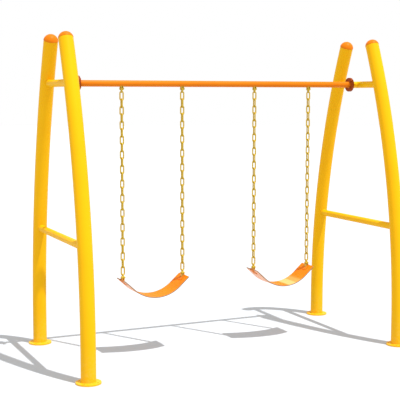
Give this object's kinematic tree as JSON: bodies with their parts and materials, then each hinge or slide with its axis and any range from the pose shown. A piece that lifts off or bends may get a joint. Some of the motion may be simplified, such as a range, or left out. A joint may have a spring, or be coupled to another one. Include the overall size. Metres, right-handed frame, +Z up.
{
  "type": "swing set",
  "caption": "Free-standing swing frame of curved round posts with a bolted top beam; flexible sling seats hang on welded link chains and swing to and fro.",
  "frame": {"origin": "on the ground at the middle of the set, under the beam's middle", "axes": "+X along the beam, +Y from front to back, +Z up"},
  "size_m": [2.928, 1.493, 2.5756],
  "materials": {
    "yellow_paint": "smooth glossy powder coat, deep yellow",
    "orange_paint": "smooth glossy powder coat, orange",
    "chain_steel": "yellow coating on welded steel links and pivot bolts, slightly worn",
    "red_brown_paint": "dark red-brown coat on the beam's flanges and their bolts",
    "bronze": "plain sintered bronze bush",
    "belt_rubber": "smooth, slightly glossy orange rubber"
  },
  "bodies": {
    "frame": {"post_left_front": "yellow_paint", "post_cap_left_front": "orange_paint", "base_flange_left_front": "yellow_paint", "post_left_rear": "yellow_paint", "post_cap_left_rear": "orange_paint", "base_flange_left_rear": "yellow_paint", "post_right_front": "yellow_paint", "post_cap_right_front": "orange_paint", "base_flange_right_front": "yellow_paint", "post_right_rear": "yellow_paint", "post_cap_right_rear": "orange_paint", "base_flange_right_rear": "yellow_paint", "upper_crossbar_left": "yellow_paint", "lower_crossbar_left": "yellow_paint", "beam_stub_left": "yellow_paint", "stub_flange_left": "red_brown_paint", "beam_flange_left": "red_brown_paint", "upper_crossbar_right": "yellow_paint", "lower_crossbar_right": "yellow_paint", "beam_stub_right": "yellow_paint", "stub_flange_right": "red_brown_paint", "beam_flange_right": "red_brown_paint", "top_beam": "orange_paint", "flange_bolts": "red_brown_paint", "flange_nuts": "red_brown_paint", "hanger_bolts": "chain_steel", "hanger_nuts": "chain_steel", "hanger_bracket_1": "chain_steel", "hanger_bracket_2": "chain_steel", "hanger_bracket_3": "chain_steel", "hanger_bracket_4": "chain_steel"},
    "hanger_1": {"hanger_link_1": "chain_steel", "hanger_bush_1": "bronze"},
    "hanger_2": {"hanger_link_2": "chain_steel", "hanger_bush_2": "bronze"},
    "chain_1": {"chain_1": "chain_steel"},
    "chain_2": {"chain_2": "chain_steel"},
    "seat_link_1": {"seat_link_1": "chain_steel"},
    "seat_link_2": {"seat_link_2": "chain_steel"},
    "seat_1": {"seat_belt_1": "belt_rubber", "seat_brackets_1": "orange_paint", "backing_plates_1": "orange_paint", "seat_rivets_1": "orange_paint", "seat_bolts_1": "chain_steel", "seat_nuts_1": "chain_steel"},
    "hanger_3": {"hanger_link_3": "chain_steel", "hanger_bush_3": "bronze"},
    "hanger_4": {"hanger_link_4": "chain_steel", "hanger_bush_4": "bronze"},
    "chain_3": {"chain_3": "chain_steel"},
    "chain_4": {"chain_4": "chain_steel"},
    "seat_link_3": {"seat_link_3": "chain_steel"},
    "seat_link_4": {"seat_link_4": "chain_steel"},
    "seat_2": {"seat_belt_2": "belt_rubber", "seat_brackets_2": "orange_paint", "backing_plates_2": "orange_paint", "seat_rivets_2": "orange_paint", "seat_bolts_2": "chain_steel", "seat_nuts_2": "chain_steel"}
  },
  "joints": [
    {"name": "swing_1", "type": "hinge", "parent": "frame", "child": "hanger_1", "pos_m": [-0.856, 0, 2.15], "axis": [1, 0, 0], "range_deg": [-60, 60]},
    {"name": "sway_1", "type": "hinge", "parent": "hanger_1", "child": "chain_1", "pos_m": [-0.856, 0, 2.11387], "axis": [0, 1, 0], "range_deg": [-8, 8]},
    {"name": "level_1", "type": "hinge", "parent": "chain_1", "child": "seat_link_1", "pos_m": [-0.856, 0, 0.66957], "axis": [0, 1, 0], "range_deg": [-8, 8]},
    {"name": "swing_1_right", "type": "hinge", "parent": "frame", "child": "hanger_2", "pos_m": [-0.332, 0, 2.15], "axis": [1, 0, 0], "range_deg": [-60, 60]},
    {"name": "sway_1_right", "type": "hinge", "parent": "hanger_2", "child": "chain_2", "pos_m": [-0.332, 0, 2.11387], "axis": [0, 1, 0], "range_deg": [-8, 8]},
    {"name": "level_1_right", "type": "hinge", "parent": "chain_2", "child": "seat_link_2", "pos_m": [-0.332, 0, 0.66957], "axis": [0, 1, 0], "range_deg": [-8, 8]},
    {"name": "seat_tilt_1", "type": "hinge", "parent": "seat_link_1", "child": "seat_1", "pos_m": [-0.856, 0, 0.63444], "axis": [1, 0, 0], "range_deg": [-60, 60]},
    {"name": "swing_2", "type": "hinge", "parent": "frame", "child": "hanger_3", "pos_m": [0.332, 0, 2.15], "axis": [1, 0, 0], "range_deg": [-60, 60]},
    {"name": "sway_2", "type": "hinge", "parent": "hanger_3", "child": "chain_3", "pos_m": [0.332, 0, 2.11387], "axis": [0, 1, 0], "range_deg": [-8, 8]},
    {"name": "level_2", "type": "hinge", "parent": "chain_3", "child": "seat_link_3", "pos_m": [0.332, 0, 0.66957], "axis": [0, 1, 0], "range_deg": [-8, 8]},
    {"name": "swing_2_right", "type": "hinge", "parent": "frame", "child": "hanger_4", "pos_m": [0.856, 0, 2.15], "axis": [1, 0, 0], "range_deg": [-60, 60]},
    {"name": "sway_2_right", "type": "hinge", "parent": "hanger_4", "child": "chain_4", "pos_m": [0.856, 0, 2.11387], "axis": [0, 1, 0], "range_deg": [-8, 8]},
    {"name": "level_2_right", "type": "hinge", "parent": "chain_4", "child": "seat_link_4", "pos_m": [0.856, 0, 0.66957], "axis": [0, 1, 0], "range_deg": [-8, 8]},
    {"name": "seat_tilt_2", "type": "hinge", "parent": "seat_link_3", "child": "seat_2", "pos_m": [0.332, 0, 0.63444], "axis": [1, 0, 0], "range_deg": [-60, 60]}
  ],
  "couplings": [
    {"joint": "swing_1_right", "follows": "swing_1", "ratio": 1},
    {"joint": "sway_1_right", "follows": "sway_1", "ratio": 1},
    {"joint": "level_1", "follows": "sway_1", "ratio": -1},
    {"joint": "level_1_right", "follows": "sway_1", "ratio": -1},
    {"joint": "swing_2_right", "follows": "swing_2", "ratio": 1},
    {"joint": "sway_2_right", "follows": "sway_2", "ratio": 1},
    {"joint": "level_2", "follows": "sway_2", "ratio": -1},
    {"joint": "level_2_right", "follows": "sway_2", "ratio": -1}
  ]
}
